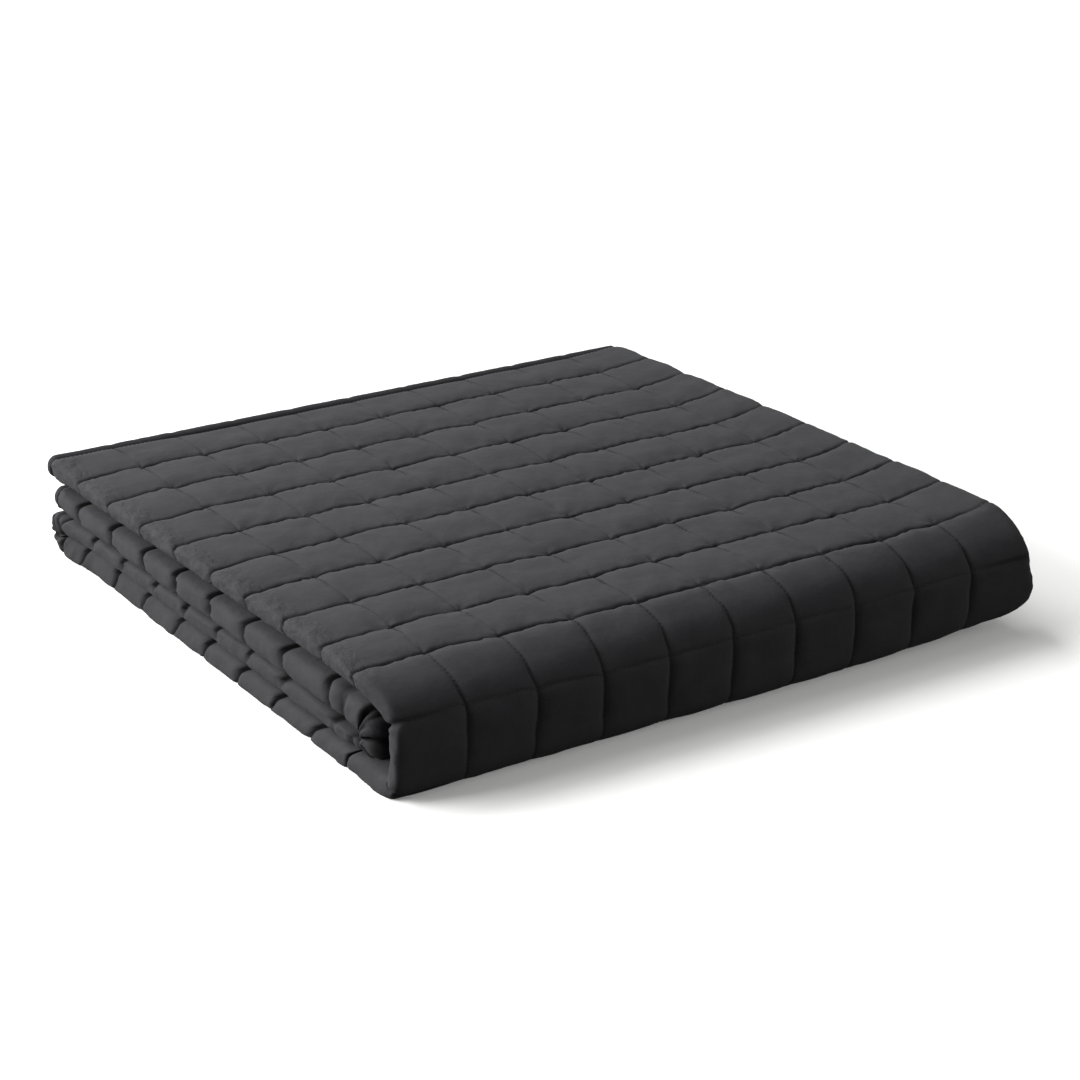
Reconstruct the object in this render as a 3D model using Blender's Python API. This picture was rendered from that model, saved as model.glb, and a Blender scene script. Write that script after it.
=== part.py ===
"""A weighted blanket, quilted in small squares and folded up into a neat square pile.

The cloth is folded in thirds across its width, so each layer of the pile is three plies thick with
folded sides, and then in half twice along its length, which gives four layers. One free end lies on
top at the back. The top layer runs to the front, wraps down over it and comes back as the bottom
layer, turns up at the back into the third layer, and turns inside the wrap into the second layer,
whose free end lies at the back under the top one.

+X runs along the front wrap, +Y to the back and +Z up. Sizes in the tables are in millimetres; the
meshes are in metres. The section is laid out from the top seam plane (height 0) and from the ninth
row seam (depth 0), and everything is moved at the end so that the origin is at the middle of the
pile's underside.
"""
import math
from typing import NamedTuple

import bmesh
import bpy
import numpy as np

MM = 0.001

# ---- quilting
SQUARE = 50.0            # side of a quilted square
COLUMNS = 10             # squares across the folded width
ROWS = 40                # squares along the blanket's whole length
SHOULDER = 0.12          # where a square's shoulder stands, as a share of its side
FLAT_SHARES = np.array([0.0, SHOULDER, 0.5, 1.0 - SHOULDER])   # points of a flat square
BEND_STEPS = 6           # steps to a square where the cloth bends
SEAM_END_TUCK = 3.2      # how far a row seam draws the folded side in
HIDDEN_SIDE_SEAMS = 1.2  # depth of the seams on the side that the folding hides
UNEVEN = 0.35            # how much one square stands below the next

# ---- folded sides
SIDE_ROUND = 9.0         # depth of the rounding at the left and right folds
SIDE_PROFILE = ((0.0, 1.0), (0.72, 0.80), (1.0, 0.30))   # share of SIDE_ROUND, of thickness
HIDDEN_SIDE_TUCK = 2.5   # how far the folds stand back on the hidden side
RIGHT_RISE = 5.8         # lift of the top layer along its right fold
RIGHT_RISE_WIDTH = 60.0
RIGHT_RISE_LEAST = 0.5   # share of the lift at the top hem
RIGHT_RISE_FROM = 160.0  # distance from the top hem where the lift is full
RIGHT_RISE_TO = 460.0    # distance from the top hem where the lift begins to fade
RIGHT_RISE_FADE = 50.0
RIGHT_SEAMS = 0.5        # share of a row seam's depth that is left on the right fold

# ---- free ends
HEM_DEPTH = 444.0        # depth where the cloth ends under its binding, top layer
HEM_HEIGHT = -7.6        # height of the middle of the top layer
HEM_HALF = 8.2           # half thickness of the three plies at the stitched end
HEM_SEAMS = 0.6          # depth of the seams there
HEM_LEFT = -1.0          # how far the left fold stands back there
HEM_RISE = 2.4           # lift of the top layer's stitched end towards its left fold
HEM_RISE_FROM = 130.0    # x where it begins, and where it is full
HEM_RISE_FULL = 210.0
HEM_RISE_LENGTH = 60.0   # distance from the top hem where it is gone
BINDING_WIDTH = 6.0      # the binding's width, along the blanket
BINDING_GAP = 0.3        # clearance between the binding and the cloth end
BINDING_HALF_HEIGHT = 2.6
BINDING_SIDES = 8
BINDING_FREE_END = 6.0   # how far the free plies' ends stop short of the folded sides
PLY_PITCH = 5.6          # height from one bound ply to the next
TURN_STEPS = 8           # steps in each turn of the binding

FLOOR = -73.8            # height of the surface that the pile rests on
STEP = 1.0               # step of the walk along the section

CLOTH_COLOUR = (0.036, 0.036, 0.038, 1.0)
BINDING_COLOUR = (0.028, 0.028, 0.030, 1.0)


class Run(NamedTuple):
    """One stretch of the folded section, followed from the top hem.

    A straight run ends at depth `to_y`; a bend has a `radius` at mid-thickness and a `turn` in
    degrees. `half` is half the thickness at the run's end, `rows` and `columns` the depth of the
    row and column seams on the blanket's face there, and `left` and `right` how far the two folded
    sides stand back there.
    """

    name: str
    to_y: float | None
    radius: float | None
    turn: float
    half: float
    rows: float
    columns: float
    left: float
    right: float


RUNS = (
    #   name             to_y   radius  turn    half  rows  cols  left  right
    Run("top hem",       400.0, None,     0.0,   9.4,  2.8,  1.6,  0.0,  0.5),
    Run("top layer",       4.0, None,     0.0,   9.7,  2.8,  1.6,  0.0, -1.0),
    Run("front droop",    None, 70.0,    26.0,   9.2,  2.0,  2.8, -0.5, -1.0),
    Run("front shoulder", None, 17.5,    64.0,   8.5,  1.2,  3.0, -0.5, -4.0),
    Run("front face",     None, 209.0,    5.5,   8.1,  1.2,  3.0, -0.5, -7.5),
    Run("front foot",     None, 209.0,    2.5,   8.0,  1.2,  3.0, -0.5,  2.0),
    Run("lower turn",     None, 9.6,     82.5,   7.6,  1.6,  1.6, -0.5, 18.0),
    Run("bottom front",   40.0, None,     0.0,   7.7,  1.6,  1.2,  1.0,  8.0),
    Run("bottom layer",  300.0, None,     0.0,  10.1,  1.6,  1.2,  5.0,  4.0),
    Run("bottom back",   395.0, None,     0.0,  11.0,  1.6,  1.2,  7.5,  4.0),
    Run("bottom fold",   430.5, None,     0.0,   8.6,  1.6,  1.2,  3.0,  4.0),
    Run("back fold",      None, 9.8,   180.35,   8.2,  1.8,  1.8, -3.0,  4.0),
    Run("third back",    395.0, None,     0.0,   6.9,  1.0,  0.8,  1.0,  3.5),
    Run("third layer",    40.0, None,     0.0,   7.8,  1.0,  0.8,  2.0,  2.0),
    Run("third front",     0.0, None,     0.0,   8.6,  1.0,  0.8,  3.0,  3.0),
    Run("inner fold",     None, 10.1, -180.50,   8.7,  0.4,  0.3,  4.0,  4.0),
    Run("second front",   45.0, None,     0.0,  10.6,  1.0,  0.8,  1.0,  1.0),
    Run("second layer",  400.0, None,     0.0,   8.5,  1.0,  0.8,  1.0,  1.0),
    Run("second hem",    438.7, None,     0.0,   8.2,  1.0,  0.8,  1.0,  1.5),
)
LAST_SHOWN_RUN = "back fold"   # the blanket's face is hidden after this run


class Path(NamedTuple):
    """The section's middle line as arrays over its length."""

    along: np.ndarray    # distance along the blanket's outer side, from the top hem
    depth: np.ndarray
    height: np.ndarray
    heading: np.ndarray  # direction of travel, radians from +Y towards +Z
    half: np.ndarray
    rows: np.ndarray
    columns: np.ndarray
    left: np.ndarray
    right: np.ndarray
    run: np.ndarray      # index of the run

    def at(self, along: np.ndarray) -> "Path":
        """Return the same quantities at other distances along the blanket."""
        return Path(along, *(np.interp(along, self.along, values) for values in self[1:]))


def follow_folds() -> Path:
    """Walk the runs from the top hem and record the middle line.

    The distance along the blanket grows with the outer side of each bend, as the cloth itself
    does: d(along) = (1 + half / radius) d(middle line).
    """
    along, depth, height, heading = BINDING_WIDTH, HEM_DEPTH, HEM_HEIGHT, math.pi
    shape = (HEM_HALF, HEM_SEAMS, HEM_SEAMS, HEM_LEFT, RUNS[0].right)
    samples = [(along, depth, height, heading, *shape, 0.0)]
    for number, run in enumerate(RUNS):
        if run.radius is None:
            length = abs((run.to_y - depth) / math.cos(heading))
        else:
            length = run.radius * math.radians(abs(run.turn))
        count = max(4, round(length / STEP))
        half_turn = math.radians(run.turn) / count / 2
        start, end = shape, (run.half, run.rows, run.columns, run.left, run.right)
        for index in range(count):
            heading += half_turn
            depth += math.cos(heading) * length / count
            height += math.sin(heading) * length / count
            heading += half_turn
            share = (index + 1) / count
            shape = tuple(a + (b - a) * share for a, b in zip(start, end))
            stretch = 1.0 if run.radius is None else 1.0 + shape[0] / run.radius
            along += stretch * length / count
            samples.append((along, depth, height, heading, *shape, float(number)))
    return Path(*np.array(samples).T)


def sample_distances(path: Path, pitch: float) -> np.ndarray:
    """Choose the distances along the blanket at which the section gets a row of points.

    A square lying flat has its seam, its two shoulders and its middle; one in a bend has even
    steps.
    """
    is_bend = np.array([run.radius is not None for run in RUNS])
    chosen = []
    for row in range(ROWS):
        start = row * pitch
        inside = (path.along >= start) & (path.along < start + pitch)
        bent = is_bend[path.run[inside].astype(int)].any()
        shares = np.arange(BEND_STEPS) / BEND_STEPS if bent else FLAT_SHARES
        chosen += list(start + shares * pitch)
    first, last = path.along[0], path.along[-1]
    inner = [value for value in chosen if first + STEP < value < last - STEP]
    return np.array([first] + inner + [last])


def seam_dip(distance: np.ndarray, pitch: float) -> np.ndarray:
    """Return 1 on a seam and 0 in the middle of a square: (1 - 2 * share of the side) ** 4."""
    share = np.abs(distance / pitch - np.round(distance / pitch))
    return (1.0 - 2.0 * share) ** 4


def stations(quilted: bool) -> np.ndarray:
    """List a row's points from left to right as (fold, position, share of thickness).

    fold is -1 and 1 on the folded sides, where the position is a share of the rounding, and 0
    between them, where it is x. A hidden row runs straight from one side to the other.
    """
    half_width = SQUARE * COLUMNS / 2
    places = [(column + share) * SQUARE - half_width
              for column in range(COLUMNS) for share in FLAT_SHARES]
    left = [(-1.0, position, share) for position, share in reversed(SIDE_PROFILE)]
    inner = [(0.0, x, 1.0) for x in places if abs(x) < half_width - SIDE_ROUND]
    right = [(1.0, position, share) for position, share in SIDE_PROFILE]
    return np.array(left + (inner if quilted else []) + right)


def row_points(at: Path, index: int, row: float, side: int, quilted: bool) -> np.ndarray:
    """Work out one row of points across the blanket, as an array (point, xyz) in millimetres.

    point = middle line + side * normal * (half - seam depth) * share of thickness, where the seam
    depth is the row seam's plus the column seam's, less half of both where they cross.
    """
    half_width = SQUARE * COLUMNS / 2
    fold, position, thickness = stations(quilted).T
    along, is_face = at.along[index], side > 0
    inset = np.where(fold < 0, at.left[index], at.right[index])
    edge = half_width - inset + SEAM_END_TUCK * (1.0 - row)
    edge -= 0.0 if is_face else HIDDEN_SIDE_TUCK
    x = np.where(fold == 0, position, fold * (edge - SIDE_ROUND * (1.0 - position)))
    column = np.where(fold == 0, seam_dip(x, SQUARE), 0.0)
    rows, columns = (at.rows[index], at.columns[index]) if is_face else (HIDDEN_SIDE_SEAMS, 0.0)
    rows = rows * np.where(fold > 0, RIGHT_SEAMS, 1.0)
    depth = rows * row + columns * column - 0.5 * (rows + columns) * row * column
    uneven = UNEVEN * np.abs(np.sin(0.071 * along + 0.9) * np.cos(0.043 * x + 0.4)) * (1.0 - row)
    offset = (at.half[index] - depth - uneven) * thickness
    if is_face:
        offset += right_rise(along, x) * np.where(thickness > 0.5, 1.0, 0.6)
    y = at.depth[index] + side * math.sin(at.heading[index]) * offset
    z = at.height[index] - side * math.cos(at.heading[index]) * offset
    return np.stack([x, y, np.maximum(z + hem_rise(along, x), FLOOR)], axis=1)


def right_rise(along: float, x: np.ndarray) -> np.ndarray:
    """Return the top layer's lift towards its right fold, full between two distances."""
    grows = RIGHT_RISE_LEAST + (1.0 - RIGHT_RISE_LEAST) * min(1.0, along / RIGHT_RISE_FROM)
    fades = np.clip((RIGHT_RISE_TO + RIGHT_RISE_FADE - along) / RIGHT_RISE_FADE, 0.0, 1.0)
    start = SQUARE * COLUMNS / 2 - RIGHT_RISE_WIDTH
    return RIGHT_RISE * grows * fades * np.clip((x - start) / RIGHT_RISE_WIDTH, 0.0, 1.0) ** 2


def hem_rise(along: float, x: np.ndarray) -> np.ndarray:
    """Return the lift of the top layer's stitched end, full at its left fold."""
    fades = max(0.0, 1.0 - along / HEM_RISE_LENGTH)
    grows = np.clip((-x - HEM_RISE_FROM) / (HEM_RISE_FULL - HEM_RISE_FROM), 0.0, 1.0)
    return HEM_RISE * fades * grows


def quilted_blanket() -> tuple[np.ndarray, list[list[int]]]:
    """Loft the blanket: face and hidden side joined at both free ends and closed at the folds."""
    path = follow_folds()
    pitch = (path.along[-1] + BINDING_WIDTH) / ROWS
    at = path.at(sample_distances(path, pitch))
    dips = seam_dip(at.along, pitch)
    last_shown = [run.name for run in RUNS].index(LAST_SHOWN_RUN)
    count = len(dips)
    shown = [at.run[index] <= last_shown for index in range(count)] + [False] * count
    loop = [row_points(at, index, dips[index], 1, shown[index]) for index in range(count)]
    loop += [row_points(at, index, dips[index], -1, False) for index in reversed(range(count))]
    starts = np.concatenate([[0], np.cumsum([len(row) for row in loop])])
    rings = [list(range(starts[index], starts[index + 1])) for index in range(2 * count)]
    faces = []
    for index, ring in enumerate(rings):
        after = (index + 1) % len(rings)
        faces += bridge(ring, rings[after], station_keys(shown[index]), station_keys(shown[after]))
    for end in (0, -1):
        for index in range(count - 1):
            faces.append([rings[index][end], rings[index + 1][end],
                          rings[-2 - index][end], rings[-1 - index][end]])
    return np.concatenate(loop), faces


def station_keys(quilted: bool) -> np.ndarray:
    """Return numbers that grow from left to right and match between any two rows."""
    fold, position, _ = stations(quilted).T
    return np.where(fold == 0, position, fold * (SQUARE * COLUMNS + position))


def bridge(ring: list[int], after: list[int], keys: np.ndarray, after_keys: np.ndarray) -> list:
    """Join two rows of points from left to right: quads, or triangles where one has more."""
    if len(ring) == len(after):
        return [[ring[k], ring[k + 1], after[k + 1], after[k]] for k in range(len(ring) - 1)]
    faces = []
    i = j = 0
    while i < len(ring) - 1 or j < len(after) - 1:
        if j == len(after) - 1 or (i < len(ring) - 1 and keys[i + 1] <= after_keys[j + 1]):
            faces.append([ring[i], ring[i + 1], after[j]])
            i += 1
        else:
            faces.append([ring[i], after[j + 1], after[j]])
            j += 1
    return faces


def binding_route(middle: float, inset: float, up: int) -> np.ndarray:
    """Return the bound edge's route across the end, as an array of (x, height) points.

    It starts at the free edge of the middle ply, turns round the right fold onto the blanket's
    face, crosses it, and turns round the left fold to the ply on the other side. `inset` is how
    far the left fold stands back, and `up` is 1 where the face lies on top and -1 where it lies
    below.
    """
    edge = SQUARE * COLUMNS / 2 - 0.5
    right_turn, left_turn = PLY_PITCH / 2, PLY_PITCH
    right_centre = edge - right_turn - BINDING_HALF_HEIGHT
    left_centre = edge - inset - left_turn - BINDING_HALF_HEIGHT
    angles = np.linspace(0.0, math.pi, TURN_STEPS + 1)
    onto_face = np.stack([right_centre + right_turn * np.sin(angles),
                          middle + up * right_turn * (1.0 - np.cos(angles))], axis=1)
    off_face = np.stack([-left_centre - left_turn * np.sin(angles),
                         middle + up * left_turn * np.cos(angles)], axis=1)
    start = [(-left_centre, middle)]
    finish = [(edge - BINDING_FREE_END, middle - up * PLY_PITCH)]
    return np.concatenate([start, onto_face, off_face, finish])


def end_binding(path: Path, end: int, up: int) -> tuple[np.ndarray, list[list[int]]]:
    """Carry the binding's oval section along its route, with flat caps at its two ends."""
    depth = path.depth[end]
    route = binding_route(path.height[end], path.left[end], up)
    if up > 0:
        route[:, 1] += hem_rise(BINDING_WIDTH, route[:, 0])
    steps = np.diff(route, axis=0)
    steps /= np.linalg.norm(steps, axis=1)[:, None]
    normals = np.stack([-steps[:, 1], steps[:, 0]], axis=1)
    before = np.concatenate([normals[:1], normals])
    after = np.concatenate([normals, normals[-1:]])
    mitre = (before + after) / (1.0 + np.sum(before * after, axis=1))[:, None]
    angles = math.tau * (np.arange(BINDING_SIDES) + 0.5) / BINDING_SIDES
    reach = BINDING_HALF_HEIGHT * np.cos(angles)
    half_width = (BINDING_WIDTH - BINDING_GAP) / 2
    x = route[:, 0, None] + mitre[:, 0, None] * reach
    y = np.broadcast_to(depth + BINDING_GAP + half_width * (1.0 + np.sin(angles)), x.shape)
    z = route[:, 1, None] + mitre[:, 1, None] * reach
    points = np.stack([x, y, z], axis=2).reshape(-1, 3)
    faces = []
    for ring in range(len(route) - 1):
        first = ring * BINDING_SIDES
        for side in range(BINDING_SIDES):
            here, beside = first + side, first + (side + 1) % BINDING_SIDES
            faces.append([here, beside, beside + BINDING_SIDES, here + BINDING_SIDES])
    faces.append(list(range(BINDING_SIDES)))
    faces.append(list(range(len(points) - BINDING_SIDES, len(points))))
    return points, faces


def cloth_material(name: str, colour: tuple[float, float, float, float]) -> bpy.types.Material:
    """Make a matt cloth material."""
    material = bpy.data.materials.new(name)
    material.use_nodes = True
    shader = material.node_tree.nodes["Principled BSDF"]
    shader.inputs["Base Color"].default_value = colour
    shader.inputs["Roughness"].default_value = 0.9
    shader.inputs["Metallic"].default_value = 0.0
    return material


def add_object(name: str, points: np.ndarray, faces: list[list[int]],
               material: bpy.types.Material) -> None:
    """Put a closed mesh into the scene, triangulated and with its faces pointing out."""
    mesh = bpy.data.meshes.new(name)
    mesh.from_pydata((points * MM).tolist(), [], faces)
    shape = bmesh.new()
    shape.from_mesh(mesh)
    bmesh.ops.triangulate(shape, faces=shape.faces[:])
    bmesh.ops.recalc_face_normals(shape, faces=shape.faces[:])
    shape.to_mesh(mesh)
    shape.free()
    mesh.materials.append(material)
    bpy.context.scene.collection.objects.link(bpy.data.objects.new(name, mesh))


def main() -> None:
    """Build the blanket and its two bindings, centred over the origin."""
    for old in list(bpy.data.objects):
        bpy.data.objects.remove(old, do_unlink=True)
    path = follow_folds()
    cover = cloth_material("charcoal_woven_cloth", CLOTH_COLOUR)
    binding = cloth_material("charcoal_binding_cloth", BINDING_COLOUR)
    pieces = (
        ("quilted_blanket", quilted_blanket(), cover),
        ("top_end_binding", end_binding(path, 0, 1), binding),
        ("inner_end_binding", end_binding(path, -1, -1), binding),
    )
    every = np.concatenate([points for _, (points, _), _ in pieces])
    low, high = every.min(axis=0), every.max(axis=0)
    origin = np.array([(low[0] + high[0]) / 2, (low[1] + high[1]) / 2, low[2]])
    for name, (points, faces), material in pieces:
        add_object(name, points - origin, faces, material)


main()
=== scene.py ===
"""Dresses the folded quilted weighted blanket.

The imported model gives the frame. The blanket is one filled cloth, sewn through in squares and folded
up, so it is carried as one closed tube of fine rings along the same fold section as the CAD solid,
with its quilting, seams, puckers and creases worked out for each point. Two cloth bindings close its
ends, and sewing thread lies in its seams. All shapes are worked out in millimetres.
"""

import logging
import math
from dataclasses import dataclass
from enum import Enum
from typing import NamedTuple, Sequence

import bpy
import numpy as np
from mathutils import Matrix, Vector


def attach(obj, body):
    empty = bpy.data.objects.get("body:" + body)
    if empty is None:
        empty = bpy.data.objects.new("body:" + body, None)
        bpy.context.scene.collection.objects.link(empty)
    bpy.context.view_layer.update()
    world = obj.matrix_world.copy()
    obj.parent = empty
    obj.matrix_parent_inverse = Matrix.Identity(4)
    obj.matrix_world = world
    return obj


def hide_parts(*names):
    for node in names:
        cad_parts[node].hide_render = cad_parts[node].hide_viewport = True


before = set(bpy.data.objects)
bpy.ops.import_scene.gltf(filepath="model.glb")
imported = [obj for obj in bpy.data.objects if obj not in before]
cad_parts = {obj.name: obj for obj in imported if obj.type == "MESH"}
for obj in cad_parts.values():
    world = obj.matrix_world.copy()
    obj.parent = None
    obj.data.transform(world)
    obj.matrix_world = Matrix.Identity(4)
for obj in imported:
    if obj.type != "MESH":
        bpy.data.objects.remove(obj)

LOG = logging.getLogger("blanket")
Array = np.ndarray

MM = 0.001
NOISE_GRID = (97, 89)
# The fold section is drawn from the quilting's own corner; this moves it to the part's origin, in mm.
ORIGIN = np.array([2.105, 202.450, -73.8])
SHIFT_X = -2.105


# ---------------------------------------------------------------- small helpers


def soft_noise(u: Array, v: Array, seed: int) -> Array:
    """Return smooth uneven values between -1 and 1.

    Random numbers stand on a grid of unit cells, and between them the value follows
    a smooth cubic step, s = t * t * (3 - 2 t), in both directions.

    Args:
        u: First coordinate, in cells.
        v: Second coordinate, in cells.
        seed: Number that picks the random grid.

    Returns:
        The value at each point.
    """
    table = np.random.default_rng(seed).uniform(-1.0, 1.0, NOISE_GRID)
    wide, high = NOISE_GRID
    u, v = np.broadcast_arrays(np.asarray(u, float), np.asarray(v, float))
    cell_u, cell_v = np.floor(u).astype(int), np.floor(v).astype(int)
    part_u, part_v = u - cell_u, v - cell_v
    step_u = part_u * part_u * (3.0 - 2.0 * part_u)
    step_v = part_v * part_v * (3.0 - 2.0 * part_v)
    near = table[cell_u % wide, cell_v % high]
    right = table[(cell_u + 1) % wide, cell_v % high]
    above = table[cell_u % wide, (cell_v + 1) % high]
    far = table[(cell_u + 1) % wide, (cell_v + 1) % high]
    lower = near + (right - near) * step_u
    upper = above + (far - above) * step_u
    return lower + (upper - lower) * step_v


def bell(distance: Array, width: float) -> Array:
    """Return exp(-(distance / width) squared), a soft bump of height 1."""
    return np.exp(-np.square(distance / width))


def smooth_step(value: Array, start: float, end: float) -> Array:
    """Return 0 before start and 1 after end, with a smooth cubic rise between them."""
    t = np.clip((np.asarray(value, float) - start) / (end - start), 0.0, 1.0)
    return t * t * (3.0 - 2.0 * t)


def put_mesh(name: str, points: Array, faces: Sequence[Array], uv: Array,
             values: dict[str, Array] | None = None) -> bpy.types.Object:
    """Make a smooth-shaded object from whole arrays.

    Args:
        name: The piece's name.
        points: Places of the points in millimetres, shape (n, 3), in the part's frame.
        faces: Arrays of point numbers, each of shape (faces, corners).
        uv: A place on the cloth for every point, in metres, shape (n, 2).
        values: A number from 0 to 1 for every point, by attribute name.

    Returns:
        The object, standing at the origin.
    """
    corners = np.concatenate([block.reshape(-1) for block in faces]).astype(np.int32)
    sizes = np.concatenate([np.full(len(block), block.shape[1]) for block in faces]).astype(np.int32)
    starts = np.concatenate([[0], np.cumsum(sizes)[:-1]]).astype(np.int32)
    mesh = bpy.data.meshes.new(name)
    mesh.vertices.add(len(points))
    mesh.vertices.foreach_set("co", (points * MM).astype(np.float32).ravel())
    mesh.loops.add(len(corners))
    mesh.loops.foreach_set("vertex_index", corners)
    mesh.polygons.add(len(sizes))
    mesh.polygons.foreach_set("loop_start", starts)
    mesh.polygons.foreach_set("use_smooth", np.ones(len(sizes), dtype=bool))
    mesh.update(calc_edges=True)
    layer = mesh.uv_layers.new(name="cloth")
    layer.data.foreach_set("uv", uv[corners].astype(np.float32).ravel())
    for key, value in (values or {}).items():
        mesh.attributes.new(key, "FLOAT", "POINT").data.foreach_set("value", value.astype(np.float32))
    mesh.validate()
    piece = bpy.data.objects.new(name, mesh)
    bpy.context.scene.collection.objects.link(piece)
    return piece


def tube_faces(rings: int, sides: int, first: int = 0) -> Array:
    """Return the quads between closed rings of points that follow one another.

    Args:
        rings: How many rings.
        sides: Points in a ring.
        first: Number of the first ring's first point.

    Returns:
        Point numbers, shape (quads, 4).
    """
    ring = np.arange(rings - 1)[:, None] * sides + first
    side = np.arange(sides)[None, :]
    beside = (side + 1) % sides
    after = ring + sides
    quads = np.stack([ring + side, after + side, after + beside, ring + beside], axis=-1)
    return quads.reshape(-1, 4)


def linear_colour(code: str) -> tuple[float, float, float, float]:
    """Turn an sRGB hex colour such as "3a3a3c" to linear red, green, blue and alpha."""
    parts = [int(code[k:k + 2], 16) / 255.0 for k in (0, 2, 4)]
    red, green, blue = (c / 12.92 if c <= 0.04045 else ((c + 0.055) / 1.055) ** 2.4 for c in parts)
    return red, green, blue, 1.0


def add_node(tree: bpy.types.NodeTree, kind: str, settings: dict | None = None,
             links: dict | None = None) -> bpy.types.Node:
    """Add a node, set its properties and sockets, and link its inputs.

    Args:
        tree: The node tree.
        kind: The node's type, such as "ShaderNodeTexNoise".
        settings: Values by name: a socket's name or number sets that socket, any other name sets
            the node's own property.
        links: Output sockets by the name or number of the input that they go into.

    Returns:
        The new node.
    """
    node = tree.nodes.new(kind)
    for key, value in (settings or {}).items():
        if isinstance(key, int) or key in node.inputs:
            node.inputs[key].default_value = value
        else:
            setattr(node, key, value)
    for key, output in (links or {}).items():
        tree.links.new(output, node.inputs[key])
    return node


# ---------------------------------------------------------------- the fold section


class Run(NamedTuple):
    """A stretch of the folded section, in millimetres and degrees.

    It runs straight to the depth to_y, or round an arc of the given radius and turn. half is half
    the layer's thickness at its end, rows and columns the seams' depths there, and left and right
    how far the folded sides stand back.
    """

    name: str
    to_y: float | None
    radius: float | None
    turn: float
    half: float
    rows: float
    columns: float
    left: float
    right: float


RUNS = (
    Run("top hem", 400.0, None, 0.0, 9.4, 2.8, 1.6, 0.0, 0.5),
    Run("top layer", 4.0, None, 0.0, 9.7, 2.8, 1.6, 0.0, -1.0),
    Run("front droop", None, 70.0, 26.0, 9.2, 2.0, 2.8, -0.5, -1.0),
    Run("front shoulder", None, 17.5, 64.0, 8.5, 1.2, 3.0, -0.5, -1.5),
    Run("front face", None, 209.0, 5.5, 8.1, 1.2, 2.8, -0.5, -9.0),
    Run("front foot", None, 209.0, 2.5, 8.0, 1.2, 1.4, -0.5, -6.5),
    Run("lower turn", None, 9.6, 82.5, 7.6, 1.2, 0.3, -0.5, 20.0),
    Run("bottom front", 40.0, None, 0.0, 7.7, 1.6, 1.2, 1.0, 8.0),
    Run("bottom layer", 300.0, None, 0.0, 10.1, 1.6, 1.2, 5.0, 4.0),
    Run("bottom back", 395.0, None, 0.0, 11.0, 1.6, 1.2, 7.5, 4.0),
    Run("bottom fold", 430.5, None, 0.0, 8.6, 1.6, 1.2, 3.0, 4.0),
    Run("back fold", None, 9.8, 180.35, 8.2, 1.8, 1.8, -3.0, 4.0),
    Run("third back", 395.0, None, 0.0, 6.9, 1.0, 0.8, 1.0, 3.5),
    Run("third layer", 40.0, None, 0.0, 7.8, 1.0, 0.8, 2.0, 2.0),
    Run("third front", 0.0, None, 0.0, 8.6, 1.0, 0.8, 1.5, 3.0),
    Run("inner fold", None, 10.1, -180.50, 8.7, 0.4, 0.3, -0.5, 4.0),
    Run("second front", 45.0, None, 0.0, 10.6, 1.0, 0.8, 0.5, 1.0),
    Run("second layer", 400.0, None, 0.0, 8.5, 1.0, 0.8, 1.0, 1.0),
    Run("second hem", 438.7, None, 0.0, 8.2, 1.0, 0.8, 1.0, 1.5),
)


class Layer(Enum):
    """The folded layers, each from one row seam to another, counted along the blanket."""

    TOP = (-2.0, 9.4)
    WRAP = (9.4, 12.0)
    BOTTOM = (12.0, 21.4)
    THIRD = (21.4, 30.0)
    INNER = (30.0, 31.4)
    SECOND = (31.4, 42.0)

    def share(self, rows: Array) -> Array:
        """Return 1 in this layer and 0 outside it, with a soft change over half a square."""
        start, end = self.value
        begun = smooth_step(rows, start - 0.25, start + 0.25)
        return begun * (1.0 - smooth_step(rows, end - 0.25, end + 0.25))


# What a sample of the folded middle line holds, in the order of the table's rows.
SAMPLED = ("along", "depth", "height", "heading", "half", "rows", "columns", "left", "right", "run")


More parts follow.
